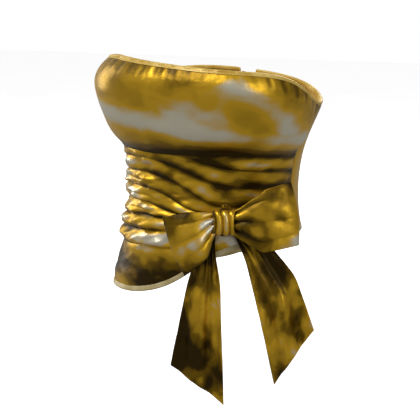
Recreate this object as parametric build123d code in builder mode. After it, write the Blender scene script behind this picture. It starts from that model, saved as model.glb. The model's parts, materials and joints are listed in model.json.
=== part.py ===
from build123d import *
import os
from collections import namedtuple
from functools import lru_cache
from math import atan2, cos, pi, sin

# Strapless satin top with a ruched waist, a slanted hem and a large bow on the front of the left hip.
# Millimetres. +Z is up, the wearer faces -Y, and +X is the wearer's left.
# The origin is the middle of the waist, which the wearer's body holds up.

# ---- body shape: horizontal sections of the outside of the satin ----
# half_width is the side seam's distance from the middle and front_depth the centre front's.
# fullness is the exponent of the section's superellipse: 2 is an ellipse, more is squarer.
Section = namedtuple("Section", "height half_width front_depth fullness")
HEM = Section(height=-132, half_width=146, front_depth=122, fullness=2.2)
HIP = Section(height=-62, half_width=124, front_depth=104, fullness=2.2)
WAIST = Section(height=0, half_width=114, front_depth=96, fullness=2.2)
UNDERBUST = Section(height=62, half_width=119, front_depth=100, fullness=2.3)
BUST = Section(height=130, half_width=147, front_depth=128, fullness=2.5)
CHEST = Section(height=196, half_width=120, front_depth=98, fullness=2.4)
SECTIONS = [HEM, HIP, WAIST, UNDERBUST, BUST, CHEST]
BACK_DEPTH = 99  # the centre back is straight and upright, so that the zip lies flat
BACK_FULLNESS = 2.15
OUTLINE_STEPS = 12
REACH = 260  # half size of the solids that trim the walls, beyond every section

# ---- edges of the garment ----
NECK_FRONT = 180  # height of the neckline over the bust
NECK_SIDE = 142  # at the underarms
NECK_BACK = 160
NECK_TILT = 4.6  # degrees that the neckline drops towards the wearer's left
HEM_RIGHT = -121  # height of the hem at the wearer's right side
HEM_FRONT = -95
HEM_BOW = -50
HEM_LEFT = -41
BUST_SEAM = 75  # where the smooth bust panel meets the ruched panel

# ---- cloth layers, as distances inwards from the outside of the satin ----
SATIN = 1.0
DRAPE_FULLNESS = 3.0  # how far the ruched panel's folds stand out from the plain satin
FIT = 0.3  # clearance between neighbouring pieces
CHANNEL_OUT = SATIN + FIT  # boning channels, cups and elastic lie between satin and lining
CHANNEL = 2.4
CHANNEL_IN = CHANNEL_OUT + CHANNEL
LINING_OUT = CHANNEL_IN + FIT
LINING = 0.8
LINING_IN = LINING_OUT + LINING
BINDING = 0.6
STAY_THICKNESS = 0.6

# ---- bindings, elastic and stay ----
NECK_BINDING_WIDTH = 6
HEM_BINDING_WIDTH = 8
ELASTIC_WIDTH = 10
STAY_WIDTH = 20

# ---- boning ----
BONE_WIDTH = 6
BONE_THICKNESS = 1.2
CASING_WIDTH = 10
CASING_WALL = 0.4
CASING_END = 4
BONE_FRONT_X = 52  # middle of the front bones
BONE_SIDE_Y = 14  # how far in front of the side seam the side bones lie
BONE_ZIP_X = 24
BONE_CLEAR = 8  # the channels stop this far from the elastic and the hem binding

# ---- bust cups ----
CUP_HALF_WIDTH = 50
CUP_HALF_HEIGHT = 42
CUP_X = 66
CUP_HEIGHT = 118

# ---- zip in the centre back ----
ZIP_TOP = 151
ZIP_LENGTH = 200
ZIP_BOTTOM = ZIP_TOP - ZIP_LENGTH
ZIP_SLOT = 4.5  # half the gap between the back panels
TAPE_WIDTH = 13
TAPE_THICKNESS = 0.7
TAPE_IN = 2.7  # the tape's inner face, inwards from the outside of the satin
CHAIN_INNER_X = 0.8
CHAIN_OUTER_X = 3.2
CHAIN_SPINE = 1.2
CHAIN_DEPTH = 2.2
TOOTH_PITCH = 3.0
TOOTH_HEIGHT = 1.6
STOP_HEIGHT = 2.7
STOP_DEPTH = 3.0
SLIDER_WIDTH = 8.4
SLIDER_HEIGHT = 14
SLIDER_PLATE = 1.2
LUG_RADIUS = 1.6
LUG_THICKNESS = 1.0
PULL_PIN_RADIUS = 0.7
PULL_PIN_PLAY = 0.08
PULL_EYE_RADIUS = 2.2
PULL_WIDTH = 4.4
PULL_LENGTH = 26
PULL_THICKNESS = 1.2
HOOK_WIRE = 0.45
HOOK_RING = 1.8

# ---- bow: its frame is tangent to the left front of the waist and leans outwards at its foot ----
BOW_ANGLE = 37  # round the waist from the centre front towards the wearer's left
BOW_HEIGHT = -12
BOW_LEAN = 8
BOW_STANDOFF = 4.0
RIBBON = 1.6
KNOT_HALF_WIDTH = 13
KNOT_HALF_HEIGHT = 23
KNOT_DEPTH = 28
KNOT_CORNER = 10
PATCH_WIDTH = 24
PATCH_HEIGHT = 24
PATCH_THICKNESS = 2.3
TAIL_LAYER = 2.0  # the tails' fixed tops lie this far in front of the knot's back
NECK_RADIUS = 6  # the gathered root of each loop
LOOP_TIP_RADIUS = 4
LOOP_BELLY_RADIUS = 11
# Outlines in the bow's frame, seen from the front: across to the wearer's left, then up.
LOOP_LEFT_OUTLINE = [(19.3, 16), (59, 44), (94, 52), (106, -32), (52, -40), (19.3, -20)]
LOOP_RIGHT_OUTLINE = [(-19.3, 10), (-84, 6), (-52, -73), (-19.3, -44), (-19.3, -16)]
TAIL_LEFT_ROOT = -47  # height of the fold line of each tail
TAIL_RIGHT_ROOT = -79
STUB_TOP = 2
STUB_HEIGHT = 16  # inside the knot, clear of the knot's rounded lower corner
STUB_LEFT_OUTLINE = [(13, STUB_TOP), (42, -12), (76, -46), (28, -46), (13, STUB_TOP - STUB_HEIGHT)]
STUB_RIGHT_OUTLINE = [
    (-13, STUB_TOP),
    (-30, -16),
    (-46, -78),
    (-4, -78),
    (-14, -34),
    (-13, STUB_TOP - STUB_HEIGHT),
]
TAIL_LEFT_OUTLINE = [(28, 0), (76, 0), (94, 20), (122, 104), (100, 138), (73, 174), (68, 170), (48, 80)]
TAIL_RIGHT_OUTLINE = [(-46, 0), (-4, 0), (1, 164), (-6, 166), (-30, 150), (-68, 112)]
FOLD_RADIUS = 1.3  # the rolled top edge on which each tail swings

os.makedirs("parts", exist_ok=True)


def export(sub_part, name):
    """Label a finished piece and write it."""
    sub_part.part.label = name
    export_step(sub_part.part, f"parts/{name}.step")


# ---- walls of the body ----
def polar_radius(angle, half_width, depth, fullness):
    """Distance of a superellipse from its middle, in the direction angle from the depth axis."""
    across = (abs(sin(angle)) / half_width) ** fullness
    along = (abs(cos(angle)) / depth) ** fullness
    return (across + along) ** (-1 / fullness)


def half_outline(section, front, inset):
    """Points round the front or back half of a section, from the right side seam to the left."""
    depth = section.front_depth if front else BACK_DEPTH
    fullness = section.fullness if front else BACK_FULLNESS
    points = []
    for step in range(OUTLINE_STEPS + 1):
        angle = pi * (step / OUTLINE_STEPS - 0.5)
        reach = polar_radius(angle, section.half_width - inset, depth - inset, fullness)
        along = -reach * cos(angle) if front else reach * cos(angle)
        points.append((reach * sin(angle), along))
    return points


@lru_cache(maxsize=None)
def half_wall(front, outer, inner):
    """The front or back wall of the body between two distances inwards from the satin."""
    with BuildPart() as wall:
        for section in SECTIONS:
            with BuildSketch(Plane.XY.offset(section.height)):
                with BuildLine():
                    outside = half_outline(section, front, outer)
                    inside = half_outline(section, front, inner)
                    Spline(*outside)
                    Spline(*inside)
                    Line(outside[0], inside[0])
                    Line(outside[-1], inside[-1])
                make_face()
        loft()
    return wall.part


@lru_cache(maxsize=None)
def below_neckline(rise):
    """All the space below the neckline raised by rise."""
    drop = NECK_FRONT - NECK_SIDE
    climb = NECK_BACK - NECK_SIDE
    depth = CHEST.front_depth
    with BuildPart() as space:
        with BuildSketch(Plane.YZ):
            with BuildLine():
                Spline(
                    (-REACH, NECK_FRONT + rise),
                    (-1.15 * depth, NECK_FRONT + rise),
                    (-0.86 * depth, NECK_FRONT + rise),
                    (-0.69 * depth, NECK_SIDE + 0.91 * drop + rise),
                    (-0.36 * depth, NECK_SIDE + 0.49 * drop + rise),
                    (0.08 * BACK_DEPTH, NECK_SIDE + rise),
                    (0.45 * BACK_DEPTH, NECK_SIDE + 0.1 * climb + rise),
                    (0.86 * BACK_DEPTH, NECK_SIDE + 0.95 * climb + rise),
                    (REACH, NECK_BACK + rise),
                    tangents=[(1, 0), (1, 0)],
                )
                edge_ends = ((-REACH, NECK_FRONT + rise), (REACH, NECK_BACK + rise))
                Polyline(edge_ends[1], (REACH, -REACH), (-REACH, -REACH), edge_ends[0])
            make_face()
        extrude(amount=REACH, both=True)
    return space.part.rotate(Axis.Y, NECK_TILT)


@lru_cache(maxsize=None)
def above_hem(rise):
    """All the space above the hem raised by rise."""
    with BuildPart() as space:
        with BuildSketch(Plane.XZ):
            with BuildLine():
                Spline(
                    (-REACH, HEM_RIGHT + rise),
                    (-WAIST.half_width, HEM_RIGHT + rise),
                    (0, HEM_FRONT + rise),
                    (0.6 * WAIST.half_width, HEM_BOW + rise),
                    (0.9 * WAIST.half_width, HEM_LEFT + rise),
                    (REACH, HEM_LEFT + rise),
                    tangents=[(1, 0), (1, 0)],
                )
                edge_ends = ((-REACH, HEM_RIGHT + rise), (REACH, HEM_LEFT + rise))
                Polyline(edge_ends[1], (REACH, REACH), (-REACH, REACH), edge_ends[0])
            make_face()
        extrude(amount=REACH, both=True)
    return space.part


def block(low_x, high_x, low_y, high_y, low_z, high_z):
    """A box between two corners, in the piece that is being built."""
    with Locations(((low_x + high_x) / 2, (low_y + high_y) / 2, (low_z + high_z) / 2)):
        Box(high_x - low_x, high_y - low_y, high_z - low_z)


@lru_cache(maxsize=None)
def slab(low_x, high_x, low_y, high_y, low_z, high_z):
    """A box of space between two corners."""
    with BuildPart() as space:
        block(low_x, high_x, low_y, high_y, low_z, high_z)
    return space.part


def carve(wall, *spaces, without=None):
    """The part of a wall that lies inside every one of the spaces, less what it is without."""
    with BuildPart() as piece:
        add(wall)
        for space in spaces:
            add(space, mode=Mode.INTERSECT)
        if without is not None:
            add(without, mode=Mode.SUBTRACT)
    return piece


def x_range(side, near, far):
    """Low and high X of a stretch that lies near to far from the middle, on side +1 or -1."""
    return (near, far) if side > 0 else (-far, -near)


def side_slab(side, near):
    """All the space on one side, from near outwards."""
    return slab(*x_range(side, near, REACH), -REACH, REACH, -REACH, REACH)


def height_slab(low, high):
    """All the space between two heights."""
    return slab(-REACH, REACH, -REACH, REACH, low, high)


def back_region(side, slot):
    """One side of the back, clear of the zip by slot down to its foot and closed below it."""
    beside_zip = side_slab(side, slot)
    below_zip = slab(*x_range(side, FIT / 2, slot + 1), -REACH, REACH, -REACH, ZIP_BOTTOM - FIT)
    with BuildPart() as space:
        add(beside_zip)
        add(below_zip)
    return space.part


SIDES = {"left": 1, "right": -1}

# ---- outer satin ----
bust_panel = carve(half_wall(True, 0, SATIN), below_neckline(0), height_slab(BUST_SEAM, REACH))
export(bust_panel, "bust_panel")

drape_wall = half_wall(True, -DRAPE_FULLNESS, SATIN)
front_drape = carve(drape_wall, above_hem(0), height_slab(-REACH, BUST_SEAM - FIT))
export(front_drape, "front_drape")

for word, side in SIDES.items():
    region = back_region(side, ZIP_SLOT)
    back_panel = carve(half_wall(False, 0, SATIN), below_neckline(0), above_hem(0), region)
    export(back_panel, f"back_panel_{word}")

# ---- lining ----
lining_front = carve(half_wall(True, LINING_OUT, LINING_IN), below_neckline(0), above_hem(0))
export(lining_front, "lining_front")

for word, side in SIDES.items():
    region = back_region(side, ZIP_SLOT + 2)
    lining_wall = half_wall(False, LINING_OUT, LINING_IN)
    lining_back = carve(lining_wall, below_neckline(0), above_hem(0), region)
    export(lining_back, f"lining_back_{word}")

# ---- cups between satin and lining ----
for word, side in SIDES.items():
    cup_wall = half_wall(True, CHANNEL_OUT, CHANNEL_IN)
    with BuildPart() as cup:
        add(cup_wall)
        with BuildSketch(Plane.XZ) as cup_outline:
            with Locations((side * CUP_X, CUP_HEIGHT)):
                Ellipse(CUP_HALF_WIDTH, CUP_HALF_HEIGHT)
        extrude(amount=REACH, mode=Mode.INTERSECT)
    export(cup, f"cup_{word}")


# ---- bindings: folded strips that close the edges ----
def binding(front, cloth_out, outside, inside):
    """A U-shaped strip over the edge of the cloth: all of the outside, less the inside."""
    cloth = carve(half_wall(front, cloth_out - FIT, LINING_IN + FIT), inside)
    strip = half_wall(front, cloth_out - FIT - BINDING, LINING_IN + FIT + BINDING)
    return carve(strip, *outside, without=cloth.part)


neck_band = carve(below_neckline(FIT + BINDING), without=below_neckline(-NECK_BINDING_WIDTH)).part
hem_band = carve(above_hem(-FIT - BINDING), without=above_hem(HEM_BINDING_WIDTH)).part
neck_binding = binding(True, 0, [neck_band], below_neckline(FIT))
export(neck_binding, "neckline_binding_front")
hem_binding = binding(True, -DRAPE_FULLNESS, [hem_band], above_hem(-FIT))
export(hem_binding, "hem_binding_front")
for word, side in SIDES.items():
    neck_edge = [neck_band, side_slab(side, ZIP_SLOT)]
    export(binding(False, 0, neck_edge, below_neckline(FIT)), f"neckline_binding_back_{word}")
    hem_edge = [hem_band, side_slab(side, FIT / 2)]
    export(binding(False, 0, hem_edge, above_hem(-FIT)), f"hem_binding_back_{word}")

# ---- elastic inside the neckline ----
elastic_band = carve(below_neckline(-FIT), without=below_neckline(-FIT - ELASTIC_WIDTH)).part
elastic_front = carve(half_wall(True, CHANNEL_OUT, CHANNEL_IN), elastic_band)
export(elastic_front, "neckline_elastic_front")
for word, side in SIDES.items():
    beside_tape = side_slab(side, TAPE_WIDTH + 2)
    elastic_back = carve(half_wall(False, CHANNEL_OUT, CHANNEL_IN), elastic_band, beside_tape)
    export(elastic_back, f"neckline_elastic_back_{word}")

# ---- waist stay: a ribbon round the inside of the waist ----
stay_walls = [
    half_wall(front, LINING_IN + FIT, LINING_IN + FIT + STAY_THICKNESS) for front in (True, False)
]
stay_gap = slab(-ZIP_SLOT - 2, ZIP_SLOT + 2, 0, REACH, -STAY_WIDTH, STAY_WIDTH)
stay = carve(stay_walls, height_slab(-STAY_WIDTH / 2, STAY_WIDTH / 2), without=stay_gap)
export(stay, "waist_stay")


# ---- boning: a steel strip in a closed cotton channel ----
def bone_strip(place, width, outer, inner, shorter):
    """An upright strip of a wall, where place says, cut short by shorter at both ends."""
    half = width / 2
    if place["across"] is None:
        near_x = x_range(place["side"], 0, REACH)
        box = slab(*near_x, place["along"] - half, place["along"] + half, -REACH, REACH)
    else:
        box = slab(place["across"] - half, place["across"] + half, -REACH, REACH, -REACH, REACH)
    top = place["top"](shorter)
    foot = above_hem(HEM_BINDING_WIDTH + BONE_CLEAR + shorter)
    return carve(half_wall(place["front"], outer, inner), box, top, foot).part


def boning(name, place):
    """A bone and its channel."""
    middle = (CHANNEL_OUT + CHANNEL_IN) / 2
    bone_out = middle - BONE_THICKNESS / 2
    bone_in = middle + BONE_THICKNESS / 2
    bone = carve(bone_strip(place, BONE_WIDTH, bone_out, bone_in, CASING_END + FIT))
    export(bone, f"bone_{name}")
    hollow_out = CHANNEL_OUT + CASING_WALL
    hollow_in = CHANNEL_IN - CASING_WALL
    hollow = bone_strip(place, BONE_WIDTH + 2 * FIT, hollow_out, hollow_in, CASING_END)
    casing = carve(bone_strip(place, CASING_WIDTH, CHANNEL_OUT, CHANNEL_IN, 0), without=hollow)
    export(casing, f"bone_casing_{name}")


def below_elastic(shorter):
    """Where the long bones end, under the elastic."""
    return below_neckline(-ELASTIC_WIDTH - BONE_CLEAR - shorter)


def below_cups(shorter):
    """Where the front bones end, under the cups."""
    return height_slab(-REACH, BUST_SEAM - BONE_CLEAR - shorter)


for word, side in SIDES.items():
    front_bone = {"front": True, "side": side, "across": side * BONE_FRONT_X, "top": below_cups}
    boning(f"front_{word}", front_bone)
    side_bone = {"front": True, "side": side, "across": None, "along": -BONE_SIDE_Y}
    boning(f"side_{word}", {**side_bone, "top": below_elastic})
    back_bone = {"front": False, "side": side, "across": side * BONE_ZIP_X, "top": below_elastic}
    boning(f"back_{word}", back_bone)

# ---- zip ----
tape_out = BACK_DEPTH - TAPE_IN + TAPE_THICKNESS
chain_out = tape_out + CHAIN_DEPTH
for word, side in SIDES.items():
    with BuildPart() as zip_tape:
        tape_x = x_range(side, CHAIN_INNER_X, CHAIN_INNER_X + TAPE_WIDTH)
        block(*tape_x, tape_out - TAPE_THICKNESS, tape_out, ZIP_BOTTOM, ZIP_TOP)
    export(zip_tape, f"zip_tape_{word}")

    with BuildPart() as zip_chain:
        chain_low = ZIP_BOTTOM + STOP_HEIGHT + FIT
        chain_high = ZIP_TOP - STOP_HEIGHT - FIT
        spine_x = x_range(side, CHAIN_OUTER_X - CHAIN_SPINE, CHAIN_OUTER_X)
        tooth_length = CHAIN_OUTER_X - CHAIN_INNER_X
        with BuildSketch(Plane.XZ.offset(-tape_out)) as chain_outline:
            with Locations((sum(spine_x) / 2, (chain_low + chain_high) / 2)):
                Rectangle(CHAIN_SPINE, chain_high - chain_low)
            count = int((chain_high - chain_low - TOOTH_HEIGHT) / TOOTH_PITCH)
            tooth_x = side * (CHAIN_INNER_X + CHAIN_OUTER_X) / 2
            with Locations((tooth_x, (chain_low + chain_high) / 2)):
                with GridLocations(0, TOOTH_PITCH, 1, count):
                    Rectangle(tooth_length, TOOTH_HEIGHT)
        extrude(amount=-CHAIN_DEPTH)
    export(zip_chain, f"zip_chain_{word}")

    with BuildPart() as zip_top_stop:
        stop_x = x_range(side, CHAIN_INNER_X, CHAIN_OUTER_X)
        block(*stop_x, tape_out, tape_out + STOP_DEPTH, ZIP_TOP - STOP_HEIGHT, ZIP_TOP)
        chamfer(zip_top_stop.faces().sort_by(Axis.Y)[-1].edges(), length=FIT)
    export(zip_top_stop, f"zip_top_stop_{word}")

with BuildPart() as zip_bottom_stop:
    stop_span = (tape_out, tape_out + STOP_DEPTH, ZIP_BOTTOM, ZIP_BOTTOM + STOP_HEIGHT)
    block(-CHAIN_OUTER_X, CHAIN_OUTER_X, *stop_span)
    chamfer(zip_bottom_stop.faces().sort_by(Axis.Y)[-1].edges(), length=FIT)
export(zip_bottom_stop, "zip_bottom_stop")

slider_top = ZIP_TOP - STOP_HEIGHT - FIT
slider_low = slider_top - SLIDER_HEIGHT
outer_face = chain_out + FIT
inner_face = BACK_DEPTH - TAPE_IN - FIT
pin_y = outer_face + SLIDER_PLATE + FIT + PULL_EYE_RADIUS
pin_z = slider_top - LUG_RADIUS - PULL_EYE_RADIUS
half_tab = PULL_WIDTH / 2
with BuildPart() as zip_slider:
    with BuildSketch(Plane.XZ.offset(-outer_face)) as slider_outline:
        with Locations((0, (slider_top + slider_low) / 2)):
            Rectangle(SLIDER_WIDTH, SLIDER_HEIGHT)
        chamfer(slider_outline.vertices().group_by(Axis.Y)[0], length=SLIDER_WIDTH / 4)
        fillet(slider_outline.vertices().group_by(Axis.Y)[-1], radius=SLIDER_WIDTH / 4)
    extrude(amount=-SLIDER_PLATE)
    inner_x = SLIDER_WIDTH / 2 - 1
    block(-inner_x, inner_x, inner_face - SLIDER_PLATE, inner_face, slider_low + 1, slider_top - 1)
    web_x = CHAIN_INNER_X - FIT
    web_span = (inner_face, outer_face, slider_low + 2, slider_top - 2)
    block(-web_x, web_x, *web_span)
    for side in SIDES.values():
        with BuildSketch(Plane.YZ.offset(side * (half_tab + FIT))):
            with Locations((pin_y, pin_z)):
                Circle(LUG_RADIUS)
            with Locations(((outer_face + pin_y) / 2 + SLIDER_PLATE / 2, pin_z)):
                Rectangle(pin_y - outer_face - SLIDER_PLATE, 2 * LUG_RADIUS)
        extrude(amount=side * LUG_THICKNESS)
    with BuildSketch(Plane.YZ):
        with Locations((pin_y, pin_z)):
            Circle(PULL_PIN_RADIUS)
    extrude(amount=half_tab + FIT, both=True)
export(zip_slider, "zip_slider")

with BuildPart() as zip_pull:
    with BuildSketch(Plane.YZ):
        with Locations((pin_y, pin_z)):
            Circle(PULL_EYE_RADIUS)
    extrude(amount=half_tab, both=True)
    tab_y = (pin_y - PULL_THICKNESS / 2, pin_y + PULL_THICKNESS / 2)
    tab_z = (pin_z - PULL_LENGTH, pin_z)
    block(-half_tab, half_tab, *tab_y, *tab_z)
    foot = zip_pull.edges().filter_by(Axis.Y).group_by(Axis.Z)[0]
    fillet(foot, radius=PULL_WIDTH / 3)
    with BuildSketch(Plane.YZ):
        with Locations((pin_y, pin_z)):
            Circle(PULL_PIN_RADIUS + PULL_PIN_PLAY)
    extrude(amount=half_tab, both=True, mode=Mode.SUBTRACT)
export(zip_pull, "zip_pull")


# ---- hook and eye above the zip, sewn inside the binding ----
hook_y = BACK_DEPTH - LINING_IN - 2 * FIT - BINDING - HOOK_WIRE
hook_z = NECK_BACK - NECK_BINDING_WIDTH + HOOK_RING
ring_x = ZIP_SLOT + HOOK_RING + 2 * HOOK_WIRE


def sewing_rings(side):
    """Two wire rings, one over the other, for the thread."""
    for rise in (-1, 1):
        ring_z = hook_z + rise * (HOOK_RING - HOOK_WIRE / 2)
        with Locations(Location((side * ring_x, hook_y, ring_z), (90, 0, 0))):
            Torus(HOOK_RING - HOOK_WIRE, HOOK_WIRE)


with BuildPart() as back_hook:
    sewing_rings(1)
    tongue_z = (hook_z - HOOK_WIRE, hook_z + HOOK_WIRE)
    block(-ZIP_SLOT, ring_x - HOOK_RING / 2, hook_y - HOOK_WIRE, hook_y + HOOK_WIRE, *tongue_z)
    tip_y = hook_y - 5 * HOOK_WIRE - FIT
    block(-ZIP_SLOT, -ZIP_SLOT + 2 * HOOK_WIRE, tip_y, hook_y, *tongue_z)
export(back_hook, "back_hook")

with BuildPart() as back_eye:
    sewing_rings(-1)
    loop_y = (hook_y - 3 * HOOK_WIRE - FIT, hook_y - HOOK_WIRE - FIT)
    loop_x = -ZIP_SLOT + 2 * HOOK_WIRE + FIT
    block(loop_x, loop_x + 2 * HOOK_WIRE, *loop_y, hook_z - 2 * HOOK_RING, hook_z + 2 * HOOK_RING)
    for rise in (-1, 1):
        arm_z = hook_z + rise * 2 * HOOK_RING
        arm_span = (arm_z - HOOK_WIRE, arm_z + HOOK_WIRE)
        block(-ring_x, loop_x + 2 * HOOK_WIRE, *loop_y, *arm_span)
        block(-ring_x - HOOK_WIRE, -ring_x + HOOK_WIRE, loop_y[0], hook_y + HOOK_WIRE, *arm_span)
export(back_eye, "back_eye")

# ---- bow frame ----
bow_reach = polar_radius(
    BOW_ANGLE * pi / 180,
    WAIST.half_width + DRAPE_FULLNESS,
    WAIST.front_depth + DRAPE_FULLNESS,
    WAIST.fullness,
)
bow_x = bow_reach * sin(BOW_ANGLE * pi / 180)
bow_y = -bow_reach * cos(BOW_ANGLE * pi / 180)
slope = WAIST.fullness - 1
normal_x = abs(bow_x) ** slope / (WAIST.half_width + DRAPE_FULLNESS) ** WAIST.fullness
normal_y = abs(bow_y) ** slope / (WAIST.front_depth + DRAPE_FULLNESS) ** WAIST.fullness
bow_heading = atan2(normal_x, normal_y)
bow_across = Vector(cos(bow_heading), sin(bow_heading), 0)
bow_level = Vector(sin(bow_heading), -cos(bow_heading), 0)
bow_lean = BOW_LEAN * pi / 180
bow_out = bow_level * cos(bow_lean) + Vector(0, 0, sin(bow_lean))
bow_seat = Vector(bow_x, bow_y, BOW_HEIGHT) + bow_level * BOW_STANDOFF
bow_plane = Plane(origin=bow_seat, x_dir=bow_across, z_dir=bow_out)


def bow_point(across, up, out):
    """A place in the bow's leaning frame as a point of the part."""
    return bow_plane.from_local_coords((across, up, out))


def upright_plane(up, out):
    """The upright plane through one height of the leaning frame, for what hangs from there."""
    return Plane(origin=bow_point(0, up, out), x_dir=bow_across, z_dir=bow_level)


# ---- bow patch, knot and gathered middle ----
with BuildPart() as bow_patch:
    with BuildSketch(bow_plane.offset(-FIT - PATCH_THICKNESS)):
        with Locations((0, -PATCH_HEIGHT / 4)):
            RectangleRounded(PATCH_WIDTH, PATCH_HEIGHT, radius=PATCH_THICKNESS)
    extrude(amount=PATCH_THICKNESS)
export(bow_patch, "bow_patch")

knot_plane = Plane(origin=bow_point(0, 0, 0), x_dir=bow_plane.z_dir, z_dir=bow_plane.x_dir)
with BuildPart() as bow_knot:
    with BuildSketch(knot_plane):
        with Locations((KNOT_DEPTH / 2, 0)):
            RectangleRounded(KNOT_DEPTH, 2 * KNOT_HALF_HEIGHT, radius=KNOT_CORNER)
            RectangleRounded(
                KNOT_DEPTH - 2 * RIBBON,
                2 * (KNOT_HALF_HEIGHT - RIBBON),
                radius=KNOT_CORNER - RIBBON,
                mode=Mode.SUBTRACT,
            )
    extrude(amount=KNOT_HALF_WIDTH, both=True)
export(bow_knot, "bow_knot")

core_back = TAIL_LAYER + RIBBON + FIT
core_front = KNOT_DEPTH - RIBBON - FIT
core_half_height = KNOT_HALF_HEIGHT - RIBBON - FIT
with BuildPart() as bow_core:
    with BuildSketch(knot_plane):
        with Locations(((core_back + core_front) / 2, 0)):
            RectangleRounded(core_front - core_back, 2 * core_half_height, radius=KNOT_CORNER - RIBBON)
    extrude(amount=KNOT_HALF_WIDTH, both=True)
export(bow_core, "bow_core")

with BuildPart() as bow_tail_stub:
    with BuildSketch(bow_plane.offset(TAIL_LAYER)):
        for outline in (STUB_LEFT_OUTLINE, STUB_RIGHT_OUTLINE):
            with BuildLine():
                Polyline(*outline, close=True)
            make_face()
        with Locations((0, STUB_TOP - STUB_HEIGHT / 2)):
            Rectangle(2 * KNOT_HALF_WIDTH, STUB_HEIGHT)
    extrude(amount=RIBBON)
export(bow_tail_stub, "bow_tail_stub")

# ---- bow loops ----
loop_middle = core_back + LOOP_BELLY_RADIUS + FIT
loop_frame = Plane(
    origin=bow_point(0, 0, loop_middle), x_dir=bow_plane.x_dir, z_dir=-bow_plane.y_dir
)
for word, side, outline in (("left", 1, LOOP_LEFT_OUTLINE), ("right", -1, LOOP_RIGHT_OUTLINE)):
    root_x = KNOT_HALF_WIDTH + FIT + NECK_RADIUS
    tip_x = max(abs(across) for across, up in outline) - LOOP_TIP_RADIUS
    belly_x = (root_x + tip_x) / 2
    root_high = outline[0][1]
    root_low = outline[-1][1]
    with BuildPart() as bow_loop:
        with BuildSketch(loop_frame):
            with BuildLine():
                CenterArc((side * root_x, 0), NECK_RADIUS, 0, 360)
                CenterArc((side * belly_x, 0), LOOP_BELLY_RADIUS, 0, 360)
                CenterArc((side * tip_x, 0), LOOP_TIP_RADIUS, 0, 360)
            make_hull()
            offset(amount=-RIBBON, mode=Mode.SUBTRACT)
        extrude(amount=REACH / 2, both=True)
        with BuildSketch(bow_plane.offset(-REACH / 2)):
            with BuildLine():
                reach_out = [(side * (KNOT_HALF_WIDTH + FIT), root_high)]
                reach_in = [(side * (KNOT_HALF_WIDTH + FIT), root_low)]
                Polyline(*reach_out, *outline, *reach_in, close=True)
            make_face()
        extrude(amount=REACH, mode=Mode.INTERSECT)
        with BuildSketch(Plane(bow_point(0, root_low, loop_middle), bow_plane.x_dir, bow_plane.y_dir)):
            with Locations((side * root_x, 0)):
                Circle(NECK_RADIUS)
        extrude(amount=root_high - root_low)
    export(bow_loop, f"bow_loop_{word}")

# ---- hanging tails, each on a rolled fold along its top edge ----
for word, root, outline in (
    ("left", TAIL_LEFT_ROOT, TAIL_LEFT_OUTLINE),
    ("right", TAIL_RIGHT_ROOT, TAIL_RIGHT_OUTLINE),
):
    fold_height = root - FOLD_RADIUS - FIT
    hanging = upright_plane(fold_height, TAIL_LAYER + RIBBON / 2)
    fold_ends = [across for across, drop in outline if drop == 0]
    with BuildPart() as bow_tail:
        with BuildSketch(hanging.offset(-RIBBON / 2)):
            with BuildLine():
                Polyline(*[(across, -drop) for across, drop in outline], close=True)
            make_face()
        extrude(amount=RIBBON)
        with BuildSketch(Plane(hanging.from_local_coords((min(fold_ends), 0, 0)), z_dir=hanging.x_dir)):
            Circle(FOLD_RADIUS)
        extrude(amount=max(fold_ends) - min(fold_ends))
    export(bow_tail, f"bow_tail_{word}")
    print(f"bow_tail_{word} swings at", hanging.origin, "along", hanging.x_dir)

for side in (1, -1):
    print("loop hinge at", bow_point(side * (KNOT_HALF_WIDTH + FIT + NECK_RADIUS), 0, loop_middle))
print("loop hinge along", bow_plane.y_dir)
print("zip pull turns at", (0, pin_y, pin_z), "slider travel", slider_low - ZIP_BOTTOM - STOP_HEIGHT - FIT)
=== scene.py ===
"""Strapless satin top with a bow: cloth, trims and stage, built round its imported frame.

Lengths are in metres. The wearer faces -Y, and +X is the wearer's left.
"""

import json
import math

import bpy
import numpy as np
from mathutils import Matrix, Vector
from mathutils.bvhtree import BVHTree


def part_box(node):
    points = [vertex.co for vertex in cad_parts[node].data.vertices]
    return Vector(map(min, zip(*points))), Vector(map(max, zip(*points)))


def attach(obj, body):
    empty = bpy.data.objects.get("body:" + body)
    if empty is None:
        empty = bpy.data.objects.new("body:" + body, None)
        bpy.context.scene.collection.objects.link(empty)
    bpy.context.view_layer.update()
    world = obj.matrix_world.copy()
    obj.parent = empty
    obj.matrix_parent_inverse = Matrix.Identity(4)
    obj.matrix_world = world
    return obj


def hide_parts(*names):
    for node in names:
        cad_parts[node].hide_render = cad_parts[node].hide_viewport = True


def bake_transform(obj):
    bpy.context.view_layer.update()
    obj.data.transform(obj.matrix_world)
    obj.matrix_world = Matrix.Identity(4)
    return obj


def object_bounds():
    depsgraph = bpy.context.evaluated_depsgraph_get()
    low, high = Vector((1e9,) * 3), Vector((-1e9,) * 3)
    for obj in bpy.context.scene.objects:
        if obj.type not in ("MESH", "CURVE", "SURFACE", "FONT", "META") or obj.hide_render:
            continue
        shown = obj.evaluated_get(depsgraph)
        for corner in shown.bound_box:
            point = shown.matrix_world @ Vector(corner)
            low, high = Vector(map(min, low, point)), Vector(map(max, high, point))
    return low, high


bl_info = {
    "name": "Satin Bow Top",
    "version": (1, 0, 0),
    "blender": (4, 5, 0),
    "location": "View3D > Sidebar > Bow Top",
    "description": "Models a ruched satin top, its bow and its stage",
    "category": "Add Mesh",
}

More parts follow.
